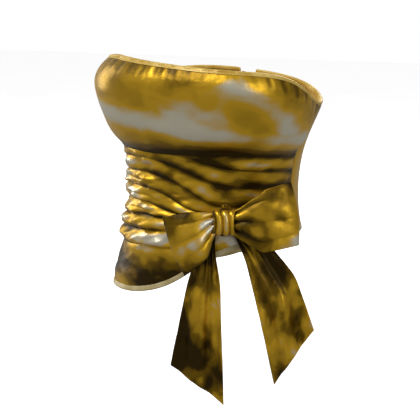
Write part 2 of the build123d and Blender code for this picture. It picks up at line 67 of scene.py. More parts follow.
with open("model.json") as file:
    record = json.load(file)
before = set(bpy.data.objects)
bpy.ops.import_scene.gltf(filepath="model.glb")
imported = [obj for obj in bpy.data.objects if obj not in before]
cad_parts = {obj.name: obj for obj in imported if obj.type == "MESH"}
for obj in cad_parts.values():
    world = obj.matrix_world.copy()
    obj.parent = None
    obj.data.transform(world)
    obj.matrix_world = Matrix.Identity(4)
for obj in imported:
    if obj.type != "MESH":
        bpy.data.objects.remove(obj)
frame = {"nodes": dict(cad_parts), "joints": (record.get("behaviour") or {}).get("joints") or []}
CAD_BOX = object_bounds()
JOINTS = {joint["name"]: joint for joint in frame["joints"]}
MM = 0.001
TURN = 2 * math.pi
FRONT_EDGE = math.pi / 2  # angle of the side seams, from the centre front


# ---------------------------------------------------------------- sizes and colours
class TopSizes(bpy.types.PropertyGroup):
    """Sizes of the cloth that a tailor would change."""

    cloth: bpy.props.FloatProperty(
        name="Cloth", description="Thickness of the satin", default=0.9 * MM, unit="LENGTH"
    )
    puff: bpy.props.FloatProperty(
        name="Puff", description="How far the bust panel hangs over its seam", default=7 * MM, unit="LENGTH"
    )
    gather: bpy.props.FloatProperty(
        name="Gathers", description="Depth of the neckline's gathers", default=1.5 * MM, unit="LENGTH"
    )
    ruche: bpy.props.FloatProperty(
        name="Ruching", description="Height of the largest waist folds", default=15 * MM, unit="LENGTH"
    )
    trim: bpy.props.FloatProperty(
        name="Trim", description="Half thickness of the rolled edges", default=1.4 * MM, unit="LENGTH"
    )


class BowSizes(bpy.types.PropertyGroup):
    """Sizes of the bow that a tailor would change."""

    belly: bpy.props.FloatProperty(
        name="Belly", description="Half thickness of a loop at its fullest", default=15 * MM, unit="LENGTH"
    )
    pleat: bpy.props.FloatProperty(
        name="Pleats", description="Depth of the pleats beside the knot", default=4.5 * MM, unit="LENGTH"
    )
    wave: bpy.props.FloatProperty(
        name="Wave", description="Depth of the waves in the tails", default=8 * MM, unit="LENGTH"
    )


class SatinColours(bpy.types.PropertyGroup):
    """The satin's gold, with the painted shadow and painted shade of its folds and its painted highlight.
    """

    # Painted shadow: the colour in the depths of the folds.
    shadow: bpy.props.FloatVectorProperty(
        name="Shadow", description="Depths of the folds", subtype="COLOR", default=(0.035, 0.019, 0.0006)
    )
    # Painted shade: the colour where the cloth turns away.
    brown_shade: bpy.props.FloatVectorProperty(
        name="Brown", description="Turning away", subtype="COLOR", default=(0.170, 0.095, 0.0030)
    )
    gold: bpy.props.FloatVectorProperty(
        name="Gold", description="The satin's own colour", subtype="COLOR", default=(0.500, 0.290, 0.0150)
    )
    # Painted highlight: the colour where the satin shines.
    champagne_highlight: bpy.props.FloatVectorProperty(
        name="Champagne", description="Where it shines", subtype="COLOR", default=(0.640, 0.590, 0.450)
    )


# ---------------------------------------------------------------- the body's wall
class Wall:
    """The outside of the top, read from the lining: its distance from the middle at any height."""

    TURNS = 180
    STEP = 1.5 * MM
    LINING_DEPTH = 4.0 * MM
    FEWEST_HITS = 20  # rays at one angle with fewer hits than this run down the zip's slot
    HALVINGS = 6

    def __init__(self):
        points, faces = [], []
        for name in ("lining_front", "lining_back_left", "lining_back_right"):
            mesh = frame["nodes"][name].data
            start = len(points)
            points += [vertex.co.copy() for vertex in mesh.vertices]
            faces += [[start + index for index in face.vertices] for face in mesh.polygons]
        self.tree = BVHTree.FromPolygons(points, faces)
        low = min(point.z for point in points)
        high = max(point.z for point in points)
        self.heights = np.arange(low, high, self.STEP)
        self.angles = np.linspace(-math.pi, math.pi, self.TURNS + 1)
        self.reach = np.zeros((len(self.angles), len(self.heights)))
        for i, angle in enumerate(self.angles):
            for j, height in enumerate(self.heights):
                self.reach[i, j] = self.measure(angle, height)
        self.mend()

    def measure(self, angle, height):
        """Distance of the outside from the middle, or 0 where the cloth has been cut away."""
        outwards = Vector((math.sin(angle), -math.cos(angle), 0))
        start = outwards + Vector((0, 0, height))
        hit = self.tree.ray_cast(start, -outwards, 1.0)[0]
        if hit is None or hit.dot(outwards) <= 0:
            return 0.0
        return hit.xy.length + self.LINING_DEPTH

    def edge_between(self, angle, inside, outside):
        """The height of a cut edge, by halving the step that it lies in."""
        for _ in range(self.HALVINGS):
            middle = (inside + outside) / 2
            if self.measure(angle, middle) > 0:
                inside = middle
            else:
                outside = middle
        return inside

    def mend(self):
        """Fill the zip's slot from beside it, and what lies past the edges from the edge."""
        seen = self.reach > 0
        filled = [i for i in range(len(self.angles)) if seen[i].sum() > self.FEWEST_HITS]
        source = [min(filled, key=lambda k: abs(k - i)) for i in range(len(self.angles))]
        self.low = np.zeros(len(self.angles))
        self.high = np.zeros(len(self.angles))
        measured = self.reach.copy()
        for i, nearest in enumerate(source):
            used = np.nonzero(seen[nearest])[0]
            first, last = self.heights[used[0]], self.heights[used[-1]]
            self.low[i] = self.edge_between(self.angles[nearest], first, first - self.STEP)
            self.high[i] = self.edge_between(self.angles[nearest], last, last + self.STEP)
            self.reach[i] = np.interp(self.heights, self.heights[used], measured[nearest][used])
        kernel = np.array([1, 2, 3, 2, 1]) / 9
        for edge in (self.low, self.high):
            padded = np.concatenate([edge[-3:-1], edge, edge[1:3]])
            edge[:] = np.convolve(padded, kernel, mode="valid")

    def hem(self, angle):
        return np.interp(angle, self.angles, self.low)

    def neckline(self, angle):
        return np.interp(angle, self.angles, self.high)

    def radius(self, angle, height):
        """Bilinear between the rays."""
        i = (angle + math.pi) / TURN * self.TURNS
        j = (height - self.heights[0]) / self.STEP
        i = np.clip(i, 0, len(self.angles) - 1.001)
        j = np.clip(j, 0, len(self.heights) - 1.001)
        i0, j0 = i.astype(int), j.astype(int)
        fi, fj = i - i0, j - j0
        near = self.reach[i0, j0] * (1 - fj) + self.reach[i0, j0 + 1] * fj
        far = self.reach[i0 + 1, j0] * (1 - fj) + self.reach[i0 + 1, j0 + 1] * fj
        return near * (1 - fi) + far * fi

    def place(self, angle, height, out):
        """Points out from the wall, at angles from the centre front towards the left."""
        reach = self.radius(angle, height) + out
        return np.stack([reach * np.sin(angle), -reach * np.cos(angle), height], axis=1)


wall = Wall()


# ---------------------------------------------------------------- small helpers
def smooth(low, high, value):
    """0 below low, 1 above high, and smooth between."""
    share = np.clip((value - low) / (high - low), 0, 1)
    return share * share * (3 - 2 * share)


def mix(first, second, share):
    return first + (second - first) * share


def ripple(seed, first, second, count=6):
    """Soft unevenness between -1 and 1 over two coordinates: a few sine waves."""
    draw = np.random.default_rng(seed)
    total = np.zeros_like(first)
    for _ in range(count):
        along, across = draw.uniform(-1, 1, 2)
        total += np.sin(along * first + across * second + draw.uniform(0, TURN))
    return total / count ** 0.5 / 1.3


def crumple(seed, first, second, size):
    """Soft dents of one size, with smaller ones among them. All three lengths share one unit."""
    large = ripple(seed, first / size * 3.2, second / size * 3.2, 7)
    return large + 0.35 * ripple(seed + 1, first / size * 7.5, second / size * 7.5, 7)


def pick(piece):
    """Make one object the only one that is selected and active."""
    bpy.ops.object.select_all(action="DESELECT")
    piece.select_set(True)
    bpy.context.view_layer.objects.active = piece


def apply_modifiers(piece):
    pick(piece)
    for modifier in list(piece.modifiers):
        bpy.ops.object.modifier_apply(modifier=modifier.name)


def grid(name, columns, rows):
    """A flat grid whose corners are at 0 and 1, with its share across and along per point."""
    bpy.ops.object.select_all(action="DESELECT")
    bpy.ops.mesh.primitive_grid_add(x_subdivisions=columns, y_subdivisions=rows, size=1)
    piece = bpy.context.active_object
    piece.name = piece.data.name = name
    flat = np.zeros(len(piece.data.vertices) * 3, np.float32)
    piece.data.vertices.foreach_get("co", flat)
    shares = flat.reshape(-1, 3).astype(float) + 0.5
    return piece, shares[:, 0], shares[:, 1]


def shape_grid(piece, points, tone=None):
    """Move a grid's points into place, and keep the tone that its finish follows: painted light and shade.
    """
    piece.data.vertices.foreach_set("co", points.astype(np.float32).ravel())
    if tone is not None:
        kept = piece.data.attributes.new("fold", "FLOAT", "POINT")
        kept.data.foreach_set("value", tone.astype(np.float32))
    piece.data.update()


def thicken(piece, thickness, weld=False):
    """Close a grid into a thin cloth with smooth faces."""
    pick(piece)
    if weld:
        bpy.ops.object.mode_set(mode="EDIT")
        bpy.ops.mesh.select_all(action="SELECT")
        bpy.ops.mesh.remove_doubles(threshold=0.02 * MM)
        bpy.ops.object.mode_set(mode="OBJECT")
    solid = piece.modifiers.new("cloth", "SOLIDIFY")
    solid.thickness = thickness
    solid.offset = -1.0
    solid.use_even_offset = False
    apply_modifiers(piece)
    bpy.ops.object.shade_smooth()


def dress(piece, material, body, slot, *nodes):
    """Give a finished piece its material and its body, and hide the nodes that it stands for. The slot is
    not used.
    """
    piece.data.materials.clear()
    piece.data.materials.append(material)
    if body:
        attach(piece, body)
    if nodes:
        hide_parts(*nodes)


def cloth_area(piece):
    """Area of one side of a closed cloth."""
    return sum(face.area for face in piece.data.polygons) / 2


def declare_sheet(piece, held, width, length, *rests_on):
    """Work out a sheet's area: one side of its cloth, at most the size of its cut. The area is not kept."""
    area = min(cloth_area(piece), width * length)


# ---------------------------------------------------------------- shader expressions
class Shade:
    """A socket in a material, with arithmetic that adds Math nodes."""

    def __init__(self, tree, socket):
        self.tree = tree
        self.socket = socket

    def node(self, kind, settings=(), output=0, **inputs):
        """Add a node, set it up, then fill or link its inputs."""
        made = self.tree.nodes.new(kind)
        for name, value in dict(settings).items():
            if name == "stops":
                ramp = made.color_ramp
                ramp.interpolation = "EASE"
                while len(ramp.elements) < len(value):
                    ramp.elements.new(0.5)
                for element, (position, colour) in zip(ramp.elements, value):
                    element.position = position
                    element.color = (*colour, 1)
            else:
                setattr(made, name, value)
        for name, value in inputs.items():
            key = int(name[1:]) if name[0] == "i" and name[1:].isdigit() else name.replace("_", " ")
            if isinstance(value, Shade):
                self.tree.links.new(value.socket, made.inputs[key])
            else:
                made.inputs[key].default_value = value
        return Shade(self.tree, made.outputs[output])

    def math(self, operation, other, swap=False):
        first, second = (other, self) if swap else (self, other)
        return self.node("ShaderNodeMath", {"operation": operation}, i0=first, i1=second)

    def __add__(self, other):
        return self.math("ADD", other)

    def __mul__(self, other):
        return self.math("MULTIPLY", other)

    def __sub__(self, other):
        return self.math("SUBTRACT", other)

    def __rsub__(self, other):
        return self.math("SUBTRACT", other, swap=True)

    __radd__ = __add__
    __rmul__ = __mul__


class Finish:
    """A new material with its shader and its first sockets."""

    def __init__(self, name, **fixed):
        self.material = bpy.data.materials.new(name)
        self.material.use_nodes = True
        self.tree = self.material.node_tree
        self.shader = self.tree.nodes["Principled BSDF"]
        for key, value in fixed.items():
            self.shader.inputs[key.replace("_", " ")].default_value = value
        self.start = Shade(self.tree, None)
        self.place = self.start.node("ShaderNodeTexCoord", output=3)

    def noise(self, scale, detail=2.0, stretch=(1, 1, 1), vector=None, swirl=0.0):
        """Soft noise between 0 and 1, stretched along the axes."""
        mapped = self.start.node(
            "ShaderNodeMapping", Vector=vector or self.place, Scale=[scale * s for s in stretch]
        )
        return self.start.node(
            "ShaderNodeTexNoise", Vector=mapped, Scale=1.0, Detail=detail, Distortion=swirl
        )

    def waves(self, scale, direction):
        """Fine parallel ribs."""
        settings = {"wave_type": "BANDS", "bands_direction": direction}
        return self.start.node("ShaderNodeTexWave", settings, output=1, Vector=self.place, Scale=scale)

    def ramp(self, value, stops):
        return self.start.node("ShaderNodeValToRGB", {"stops": stops}, Fac=value)

    def bump(self, height, strength, distance):
        return self.start.node("ShaderNodeBump", Height=height, Strength=strength, Distance=distance)

    def link(self, **sockets):
        for name, value in sockets.items():
            self.tree.links.new(value.socket, self.shader.inputs[name.replace("_", " ")])
        return self.material


def satin(name, seed, stretch, painted_sheen=1.15, dents=0.18):
    """Heavy satin: painted shade in its folds, gold over most of its face and a painted highlight in
    champagne_highlight where it shines.
    """
    colours = bpy.context.scene.satin_colours
    finish = Finish(name, Metallic=0.72, Specular_IOR_Level=0.25, Sheen_Weight=0.03, Sheen_Roughness=0.4)
    finish.shader.inputs["Sheen Tint"].default_value = (1.0, 0.85, 0.55, 1)
    # The fold attribute holds painted light and shade: low in the creases and under overhangs, high on the
    # crests.
    fold = finish.start.node("ShaderNodeAttribute", {"attribute_name": "fold"}, output=2)
    shifted = finish.start.node("ShaderNodeMapping", Vector=finish.place, Location=(seed, seed * 0.7, 0))
    # The broad and small noise paint patches of sheen: painted highlight and painted shade across the face.
    broad = finish.noise(8.5, detail=1.5, stretch=stretch, vector=shifted, swirl=0.4)
    small = finish.noise(34, detail=1.5, stretch=stretch, vector=shifted, swirl=0.5)
    tone = fold + (broad - 0.5) * painted_sheen + (small - 0.5) * painted_sheen * 0.35
    # The ramp runs from painted shadow and painted shade through gold and a brighter gold to the painted
    # highlight.
    stops = [
        (0.02, tuple(colours.shadow)),
        (0.26, tuple(colours.brown_shade)),
        (0.50, tuple(colours.gold)),
        (0.66, tuple(c * 1.3 for c in colours.gold)),
        (0.98, tuple(colours.champagne_highlight)),
    ]
    colour = finish.ramp(tone, stops)
    rough = 0.42 - 0.14 * broad
    threads = finish.noise(2600, detail=1, stretch=(1, 1, 0.12))
    crumple = finish.noise(60, detail=2)
    weave = finish.bump(threads, 0.10, 0.0002)
    crease = finish.start.node(
        "ShaderNodeBump", Height=crumple, Strength=dents, Distance=0.004, Normal=weave
    )
    return finish.link(Base_Color=colour, Roughness=rough, Normal=crease)


def edge_satin(name, low, high):
    """The satin of a narrow binding, even and bright; its row of stitches is in the binding's shape, not in
    this finish.
    """
    finish = Finish(name, Metallic=0.15, Specular_IOR_Level=0.5)
    patch = finish.noise(45, detail=2)
    threads = finish.noise(1900, detail=1)
    return finish.link(
        Base_Color=finish.ramp(patch, [(0.3, low), (0.7, high)]),
        Roughness=0.45 - 0.1 * patch,
        Normal=finish.bump(threads, 0.2, 0.0002),
    )


def plain_cloth(name, low, high, rough=0.75, rib=0.0, direction="X"):
    """A matt woven cloth with a fine grain, ribbed where rib is more than 0."""
    finish = Finish(name, Sheen_Weight=0.2, Specular_IOR_Level=0.3)
    grain = finish.noise(900, detail=3)
    patch = finish.noise(26, detail=2)
    tone = grain * 0.5 + patch * 0.5
    height = grain
    if rib:
        height = grain * 0.3 + finish.waves(rib, direction)
    return finish.link(
        Base_Color=finish.ramp(tone, [(0.3, low), (0.7, high)]),
        Roughness=rough + (grain - 0.5) * 0.2,
        Normal=finish.bump(height, 0.35, 0.0003),
    )


def metal(name, low, high, rough, brush=(1, 1, 1)):
    """Drawn or cast metal with fine scratches and worn places."""
    finish = Finish(name, Metallic=1.0)
    scratch = finish.noise(700, detail=4, stretch=brush)
    worn = finish.noise(90, detail=3)
    return finish.link(
        Base_Color=finish.ramp(worn, [(0.3, low), (0.7, high)]),
        Roughness=rough + (scratch - 0.5) * 0.25 + (worn - 0.5) * 0.15,
        Normal=finish.bump(scratch, 0.15, 0.0001),
    )


# ---------------------------------------------------------------- the bow's own directions
ACROSS = -np.array(JOINTS["bow_tail_left_swing"]["axis"], float)
UP = -np.array(JOINTS["bow_loop_left_flex"]["axis"], float)
OUT = np.cross(ACROSS, UP)
LOOP_MIDDLE = 15.2  # how far out the loops' roots are, in millimetres
LOOP_ROOTS = [np.array(JOINTS[f"bow_loop_{side}_flex"]["pos_m"]) for side in ("left", "right")]
BOW_SEAT = np.round(sum(LOOP_ROOTS) / 2 - LOOP_MIDDLE * MM * OUT, 5)
KNOT_ANGLE = math.atan2(BOW_SEAT[0], -BOW_SEAT[1])
KNOT_HEIGHT = BOW_SEAT[2]


# ---------------------------------------------------------------- cloth that lies on the wall
SLOT_HALF = 4.7 * MM  # half the slot between the back panels
BACK_DEPTH = 99 * MM  # from the middle to the centre back, at the waist
ZIP_EDGE = math.pi - math.asin(SLOT_HALF / BACK_DEPTH)
FRONT = (-FRONT_EDGE + 0.001, FRONT_EDGE - 0.001)
BACK_LEFT = (FRONT_EDGE + 0.001, ZIP_EDGE)
BACK_RIGHT = (-ZIP_EDGE, -FRONT_EDGE - 0.001)
ARCS = {"front": FRONT, "back_left": BACK_LEFT, "back_right": BACK_RIGHT}
BUST_SEAM = 75 * MM
LINING_OUT = -4.0 * MM
LINING_IN = -4.8 * MM


def arc_length(angle):
    """Distance round the waist from the centre front, at each angle."""
    turns = np.linspace(-math.pi, math.pi, 721)
    reach = wall.radius(turns, np.zeros_like(turns))
    x, y = reach * np.sin(turns), reach * np.cos(turns)
    steps = np.concatenate([[0], np.cumsum(np.hypot(np.diff(x), np.diff(y)))])
    steps -= np.interp(0, turns, steps)
    return np.interp(angle, turns, steps)


def close_below_zip(angle, height):
    """Bring the back's edges together at the middle seam, under the zip's bottom stop."""
    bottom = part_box("zip_bottom_stop")[0].z
    edge = smooth(ZIP_EDGE - 0.10, ZIP_EDGE, np.abs(angle))
    shut = smooth(bottom + 1 * MM, bottom - 4 * MM, height)
    return angle + np.sign(angle) * edge * shut * (math.pi - 0.0008 - ZIP_EDGE)


def wall_cloth(name, arc, low, high, drape, size, thickness):
    """A sheet on the wall between two heights, with drape giving its distance out and its tone."""
    piece, across, along = grid(name, *size)
    angle = mix(arc[0], arc[1], across)
    bottom, top = low(angle), high(angle)
    height = mix(bottom, top, along)
    out, tone = drape(angle, height, height - bottom, top - height)
    angle = close_below_zip(angle, height)
    shape_grid(piece, wall.place(angle, height, out), tone)
    thicken(piece, thickness)
    return piece


def edge_band(name, arc, edge, side, leg, columns, thickness):
    """A binding that wraps an edge of the wall: side is 1 at the neckline and -1 at the hem."""
    piece, across, along = grid(name, columns, 26)
    trim = bpy.context.scene.top_sizes.trim
    angle = mix(arc[0], arc[1], across)
    share = along if side > 0 else 1 - along
    turn = np.clip((share - 0.36) / 0.28, 0, 1) * math.pi
    down = np.maximum(0, 0.36 - share) / 0.36 + np.maximum(0, share - 0.64) / 0.36
    middle, half = LINING_IN / 2, -LINING_IN / 2 + 0.7 * MM
    stitch = 0.10 * MM * np.sin(arc_length(angle) / (0.45 * MM))
    out = middle + half * np.cos(turn) + stitch * (down > 0) * (down < 1)
    height = edge(angle) + side * (trim * np.sin(turn) - leg * down)
    angle = close_below_zip(angle, height)
    tone = 0.66 + 0.2 * ripple(5, arc_length(angle) / (9 * MM), height / (40 * MM))
    shape_grid(piece, wall.place(angle, height, out), tone)
    thicken(piece, thickness)
    return piece


SHINE_ANGLES = np.radians([-90, -60, -25, 15, 50, 90])
SHINE_HEIGHTS = np.array([134, 127, 111, 99, 89, 84]) * MM
TURN_HEIGHTS = np.array([85, 97, 125, 158]) * MM
TURN_ANGLES = np.radians([74, 70, 60, 40])


def bust_shine(angle, height):
    """The band of painted highlight across the bust, which turns up at the wearer's left. The same band
    lifts a low ridge in the cloth.
    """
    level = np.interp(angle, SHINE_ANGLES, SHINE_HEIGHTS)
    band = np.exp(-((height - level) / (13 * MM)) ** 2)
    slant = np.interp(height, TURN_HEIGHTS, TURN_ANGLES)
    turned = np.exp(-((angle - slant) / 0.17) ** 2) * smooth(84 * MM, 100 * MM, height)
    return np.maximum(band, turned)


def neck_gathers(around, height):
    """Small upright folds, fine ones on wide ones, stronger in some places than in others."""
    wander = 1.6 * ripple(11, around / (30 * MM), height / (22 * MM))
    fine = np.sin(around / (1.15 * MM) + wander * 2.2)
    wide = np.sin(around / (2.4 * MM) + wander * 3 + 1)
    patchy = 0.55 + 0.45 * ripple(12, around / (14 * MM), height / (60 * MM))
    return (0.35 * fine + 0.65 * wide) * patchy


def bust_drape(angle, height, above, below):
    """Full over the bust, gathered under its binding and tucked in above the waist."""
    sizes = bpy.context.scene.top_sizes
    around = arc_length(angle)
    uneven = 5 * MM * ripple(10, around / (26 * MM), around * 0, 4)
    seam = np.exp(-(above / (8 * MM)) ** 1.5)
    full = np.exp(-((above - 24 * MM + uneven) / (26 * MM)) ** 2)
    taut = smooth(0.45, 1.15, -angle) * smooth(118 * MM, 152 * MM, height)
    out = sizes.puff * full * (1 - seam) * (1 - 0.85 * taut) + 1.4 * MM * seam

    gathers = neck_gathers(around, height)
    near_neck = np.exp(-((below - 6 * MM) / (9 * MM)) ** 2)
    long_neck = np.exp(-below / (30 * MM))
    depth = sizes.gather * (0.42 * near_neck + 0.10 * long_neck) * smooth(0, 4 * MM, below)
    out = out + depth * gathers

    sweep = ripple(13, around / (46 * MM), height / (24 * MM) - around / (90 * MM), 6)
    fall = ripple(14, around / (22 * MM), height / (60 * MM), 6)
    dents = crumple(15, around, height, 34 * MM)
    shine = bust_shine(angle, height)
    held = smooth(0, 14 * MM, below) * (1 - seam)
    out = out + (1.3 * sweep + 0.6 * fall + 1.3 * shine + 0.55 * dents) * MM * held
    out = np.where(below < 5 * MM, np.minimum(out, 0.2 * MM + below * 0.12), out)

    # Painted light and shade: lighter on the sweeps, on the crests of the gathers and in the painted
    # highlight band. Painted shade just under the binding and painted shadow under the puff at the seam.
    # Darker at the side seams.
    tone = 0.46 + 0.12 * sweep + 0.04 * fall + 0.40 * shine
    tone = tone + 0.17 * gathers * (near_neck + 0.4 * long_neck)
    tone = tone - 0.22 * np.exp(-(below / (17 * MM)) ** 2)
    tone = tone - 0.50 * seam - 0.16 * np.exp(-((above - 9 * MM) / (11 * MM)) ** 2)
    edges = np.exp(-np.abs(np.abs(angle) - FRONT_EDGE) / 0.012)
    return out * (1 - edges) - 0.2 * MM * edges, tone - 0.15 * edges


def fold_layer(level, pitch, away, rise, seed):
    """Folds that hang over narrow creases: how far out each place is, and its painted light, bright on the
    crests and dark in the creases.
    """
    turns = level / pitch + 0.34 * ripple(seed, away / 44, rise / 40, 5)
    fold = np.floor(turns).astype(int)
    down = 1 - (turns - fold)
    tall = np.random.default_rng(seed).uniform(0.30, 1.0, 100)[fold % 100]
    bulge = down ** 0.8 * (1 - down) ** 0.42 / 0.53
    light = np.sin(math.pi * down ** 0.85) * (0.5 + 0.5 * tall)
    return bulge * tall, light


def sweep_to_knot(away, rise):
    """The level that a fold keeps to, in millimetres: level at the seam, drawn in to the knot."""
    near = np.exp(-((away - 8) / 66) ** 2)
    over, under = np.maximum(rise, 0), np.minimum(rise, 0)
    upper = 46 * np.exp(-over / 52) * (1 - np.exp(-over / 9))
    lower = 30 * np.exp(under / 45) * (1 - np.exp(under / 9))
    wander = 8 * ripple(21, away / 42, rise / 40, 5)
    return rise + near * (upper - lower) - 0.14 * np.minimum(away, 110) + wander


LARGE_FOLDS = 19.0  # millimetres from one to the next
SMALL_FOLDS = 9.5
RUCHING_ENDS = (-72, -50)  # levels between which the folds give way to the plain skirt


def waist_drape(angle, height, above, below):
    """Folds that sweep from the side seam down into the knot of the bow, and past above it."""
    sizes = bpy.context.scene.top_sizes
    away = (arc_length(np.array([KNOT_ANGLE]))[0] - arc_length(angle)) / MM
    rise = (height - KNOT_HEIGHT) / MM
    radius = np.hypot(away, rise)
    level = sweep_to_knot(away, rise)
    main, light = fold_layer(level, LARGE_FOLDS, away, rise, 23)
    minor, glint = fold_layer(level + 5, SMALL_FOLDS, away, rise, 33)
    share = 0.75 * smooth(0.1, 1.0, ripple(28, away / 30, rise / 20, 5))
    ridge = mix(main, 0.55 * main + 0.45 * minor, share)
    light = mix(light, 0.5 * light + 0.5 * glint, share)

    gathered = smooth(*RUCHING_ENDS, level)
    ruched = gathered * smooth(0, 20 * MM, below)
    calm = mix(1.0, 0.32, smooth(20, -25, away))
    room = mix(0.16, 1.0, smooth(28, 130, radius))
    small = crumple(24, away, rise * 1.8, 26)
    bulk = sizes.ruche * calm * room * ridge * (0.72 + 0.28 * small)
    out = ruched * (bulk + 1.5 * MM * small * room)

    hang = ripple(26, away / 26, rise / 50 + away / 60, 6)
    cross = ripple(27, away / 60, rise / 13, 5)
    skirt = 1 - gathered
    flare = 3.5 * MM * smooth(-45, -95, rise) * smooth(40, 120, away)
    out = out + skirt * (1.8 + 1.2 * hang + 0.8 * cross + 0.6 * small) * MM + flare
    hem = 1 - smooth(0, 24 * MM, above)
    out = np.maximum(out * (1 - hem) + 0.15 * MM * hem, 0)
    out = out * smooth(-2 * MM, 6 * MM, below)

    # Painted light and shade: painted highlight on the fold crests, painted shade in the creases, painted
    # shadow round the knot and under the bust's puff. Lighter beyond the knot and towards the skirt's far
    # side, and darker at the side seams.
    tone = ruched * (0.06 + 0.80 * light + 0.16 * small) + gathered * (1 - ruched) * 0.28
    tone = tone + skirt * (0.30 + 0.16 * hang + 0.20 * cross + 0.22 * smooth(95, 140, away))
    tone = tone + 0.26 * smooth(15, -35, away) * ruched
    tone = tone - 0.18 * np.exp(-radius / 34) - 0.12 * np.exp(-below / (12 * MM))
    edges = np.exp(-np.abs(np.abs(angle) - FRONT_EDGE) / 0.014)
    return out * (1 - 0.85 * edges), tone - 0.15 * edges


def back_drape(angle, height, above, below):
    """Nearly flat, with a few soft drag lines at the waist."""
    around = arc_length(angle) / MM
    level = height / MM
    drag = ripple(31, around / 55, level / 9, 6) * np.exp(-((level - 5) / 42) ** 2)
    hang = ripple(32, around / 19, level / 120, 6)
    held = smooth(0, 9 * MM, above) * smooth(0, 8 * MM, below)
    beside = smooth(0, 0.10, np.abs(np.abs(angle) - FRONT_EDGE)) * smooth(0, 0.16, ZIP_EDGE - np.abs(angle))
    out = (1.6 * MM * drag + 0.9 * MM * hang) * held * beside
    edges = np.exp(-(np.abs(angle) - FRONT_EDGE) / 0.014)
    # The tone paints light and shade along the drag lines and the hang, and is darker at the side seams.
    return out + 0.1 * MM, 0.52 + 0.18 * drag + 0.14 * hang - 0.15 * edges


def lining_drape(angle, height, above, below):
    """Flat, with the slight looseness of a lining."""
    loose = ripple(41, arc_length(angle) / (24 * MM), height / (50 * MM))
    held = smooth(0, 20 * MM, above) * smooth(0, 20 * MM, below)
    return LINING_OUT - 0.5 * MM * (loose + 1) * held * 0.5, 0.5 + 0.1 * loose


def bow_place(across, up, out):
    """Points given across, up and out from the bow's seat, in millimetres."""
    spots = across[:, None] * ACROSS + up[:, None] * UP + out[:, None] * OUT
    return BOW_SEAT + spots * MM


def bow_point(across, up, out):
    return tuple(bow_place(np.array([across]), np.array([up]), np.array([out]))[0])


def run_along(points, share):
    """A smooth line through a few points, at shares of its length."""
    points = np.array(points, float)
    steps = np.concatenate([[0], np.cumsum(np.hypot(*np.diff(points, axis=0).T))])
    steps /= steps[-1]
    dense = np.linspace(0, 1, 201)
    line = np.stack([np.interp(dense, steps, points[:, k]) for k in range(2)], axis=1)
    kernel = np.hanning(41)
    kernel /= kernel.sum()
    padded = np.concatenate([2 * line[0] - line[20:0:-1], line, 2 * line[-1] - line[-2:-22:-1]])
    line = np.stack([np.convolve(padded[:, k], kernel, mode="valid") for k in range(2)], axis=1)
    return np.interp(share, dense, line[:, 0]), np.interp(share, dense, line[:, 1])


def make_loop(name, top, bottom, tip_bulge, seed, reverse, lightness):
    """A ribbon loop: a front and a back layer that meet in a soft fold at the tip."""
    sizes = bpy.context.scene.bow_sizes
    piece, along, rise = grid(name, 230, 96)
    turn = math.pi * (1 - along if reverse else along)
    share = np.sin(turn)
    front = np.cos(turn)
    high = run_along(top, share)
    low = run_along(bottom, share)
    curl = tip_bulge * np.sin(math.pi * rise) * share ** 3
    across = mix(low[0], high[0], rise) + curl
    up = mix(low[1], high[1], rise)
    full = 6 + (sizes.belly / MM * 1.25 - 6) * smooth(0, 0.75, share)
    rounded = 1 - 0.42 * np.abs(2 * rise - 1) ** 2.5
    out = LOOP_MIDDLE + full * front * rounded
    wander = 0.9 * ripple(seed, rise * 4, share * 3, 5)
    pleat = np.abs(np.sin(rise * 5.2 * math.pi / 1.6 + wander * (0.5 + share) + seed))
    pleat = 1 - pleat ** 0.8
    near = np.exp(-share / 0.34) * smooth(0, 0.05, share) + 0.05
    layer = np.sign(front) * np.minimum(1, np.abs(front) * 5)
    out = out - layer * sizes.pleat / MM * pleat * near
    loose = ripple(seed + 1, share * 5, rise * 5, 6)
    dents = crumple(seed + 3, across, up, 24)
    out = out + layer * 1.5 * loose * smooth(0.1, 0.5, share) + dents * smooth(0.05, 0.3, share)
    # Painted light and shade: painted shade in the pleats and close to the knot, lighter and darker with
    # the loose waves and dents.
    shade = lightness - 0.75 * pleat * near + 0.26 * loose + 0.20 * dents
    shade = shade - 0.25 * np.exp(-share / 0.10) + 0.12 * np.abs(front)
    shape_grid(piece, bow_place(across, up, out), shade)
    thicken(piece, bpy.context.scene.top_sizes.cloth)
    return piece


